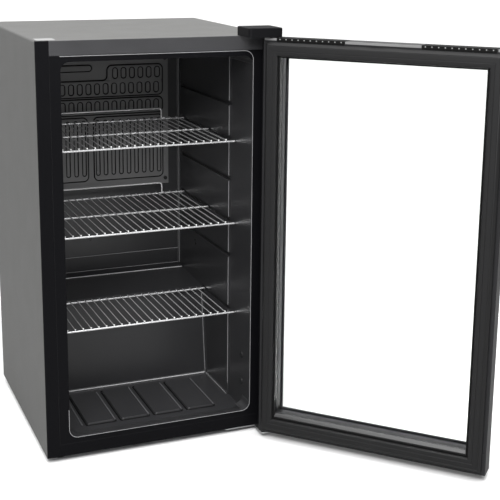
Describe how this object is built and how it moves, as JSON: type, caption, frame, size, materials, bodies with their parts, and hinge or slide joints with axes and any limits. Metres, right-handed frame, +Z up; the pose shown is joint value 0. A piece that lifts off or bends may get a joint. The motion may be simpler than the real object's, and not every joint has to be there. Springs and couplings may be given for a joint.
{
  "type": "glass door merchandiser",
  "caption": "Upright refrigerated drinks display cabinet with a hinged double-glazed door, sliding wire shelves and a compressor bay at the back.",
  "frame": {"origin": "on the floor, under the centre of the cabinet's 480 x 470 mm footprint, midway between the four feet", "axes": "+X to the right as a customer faces the door, +Y from the door to the back, +Z up"},
  "size_m": [0.7986, 0.8499, 0.858],
  "materials": {
    "case_paint": "fine textured powder coat, satin",
    "strip_black": "black moulded strip, satin gloss",
    "back_sheet": "black coated steel sheet",
    "base_steel": "galvanised sheet",
    "foam": "cut polyurethane foam",
    "liner_black": "vacuum-formed black sheet, glossy",
    "evaporator_grey": "dark grey painted aluminium plate",
    "shelf_wire": "bright plated wire",
    "zinc": "zinc plated steel",
    "black_plastic": "black moulded plastic",
    "rubber_black": "black rubber",
    "gasket_grey": "dark soft magnetic seal",
    "magnet": "flexible ferrite strip",
    "door_frame": "dark grey extruded frame, satin",
    "door_glass": "clear tempered pane",
    "spacer_aluminium": "dark anodised spacer",
    "lens_white": "frosted lamp lens",
    "bulb_glass": "clear bulb",
    "box_grey": "light grey housing",
    "compressor_black": "semi gloss black enamel",
    "copper": "bare copper tube",
    "coil_black": "black painted steel tube",
    "tray_black": "black moulded tray",
    "plug_dark": "small push-in plug"
  },
  "bodies": {
    "cabinet": {"back_panel": "back_sheet", "base_pan": "base_steel", "bay_partition": "base_steel", "bottom_hinge_bracket": "zinc", "bottom_hinge_pin": "zinc", "compressor": "compressor_black", "compressor_bolts": "zinc", "compressor_cover": "back_sheet", "compressor_grommets": "rubber_black", "condenser_coil": "coil_black", "control_box": "box_grey", "cord_gland": "black_plastic", "cover_screws": "zinc", "drain_tube": "black_plastic", "drip_tray": "tray_black", "evaporator_clips": "plug_dark", "evaporator_plate": "evaporator_grey", "filter_drier": "copper", "front_rail_bottom": "strip_black", "front_rail_top": "strip_black", "front_stile_left": "strip_black", "front_stile_right": "strip_black", "hinge_hole_cover": "box_grey", "hinge_screws": "zinc", "inner_liner": "liner_black", "insulation_foam": "foam", "lamp_bulb": "bulb_glass", "lamp_lens": "lens_white", "liner_plugs": "plug_dark", "outer_case": "case_paint", "rear_feet": "rubber_black", "refrigerant_lines": "copper", "relay_box": "black_plastic", "top_hinge_cover": "black_plastic", "top_hinge_pin": "zinc", "top_hinge_plate": "zinc"},
    "door": {"door_stile_hinge": "door_frame", "door_stile_latch": "door_frame", "door_top_cap": "door_frame", "door_bottom_cap": "door_frame", "top_hinge_bush": "black_plastic", "bottom_hinge_bush": "black_plastic", "spare_pin_plug": "black_plastic", "glass_outer": "door_glass", "glass_inner": "door_glass", "glass_spacer": "spacer_aluminium", "glass_retainer": "door_frame", "door_gasket": "gasket_grey", "gasket_magnets": "magnet", "door_handle": "black_plastic", "handle_screws": "zinc"},
    "shelf_top": {"shelf_top_frame": "shelf_wire", "shelf_top_rods": "shelf_wire"},
    "shelf_middle": {"shelf_middle_frame": "shelf_wire", "shelf_middle_rods": "shelf_wire"},
    "shelf_lower": {"shelf_lower_frame": "shelf_wire", "shelf_lower_rods": "shelf_wire"},
    "thermostat_knob": {"thermostat_knob": "black_plastic"},
    "foot_left": {"front_foot_left": "rubber_black"},
    "foot_right": {"front_foot_right": "rubber_black"}
  },
  "joints": [
    {"name": "door_hinge", "type": "hinge", "parent": "cabinet", "child": "door", "pos_m": [0.225, -0.265, 0.427], "axis": [0, 0, 1], "range_deg": [-133.3, 1.7]},
    {"name": "shelf_top_slide", "type": "slide", "parent": "cabinet", "child": "shelf_top", "axis": [0, -1, 0], "range_m": [0, 0.28]},
    {"name": "shelf_middle_slide", "type": "slide", "parent": "cabinet", "child": "shelf_middle", "axis": [0, -1, 0], "range_m": [0, 0.28]},
    {"name": "shelf_lower_slide", "type": "slide", "parent": "cabinet", "child": "shelf_lower", "axis": [0, -1, 0], "range_m": [0, 0.14]},
    {"name": "thermostat_turn", "type": "hinge", "parent": "cabinet", "child": "thermostat_knob", "pos_m": [0.042, 0.053, 0.784], "axis": [0, -1, 0], "range_deg": [0, 270]},
    {"name": "foot_left_screw", "type": "slide", "parent": "cabinet", "child": "foot_left", "axis": [0, 0, -1], "range_m": [0, 0.01]},
    {"name": "foot_right_screw", "type": "slide", "parent": "cabinet", "child": "foot_right", "axis": [0, 0, -1], "range_m": [0, 0.01]}
  ]
}
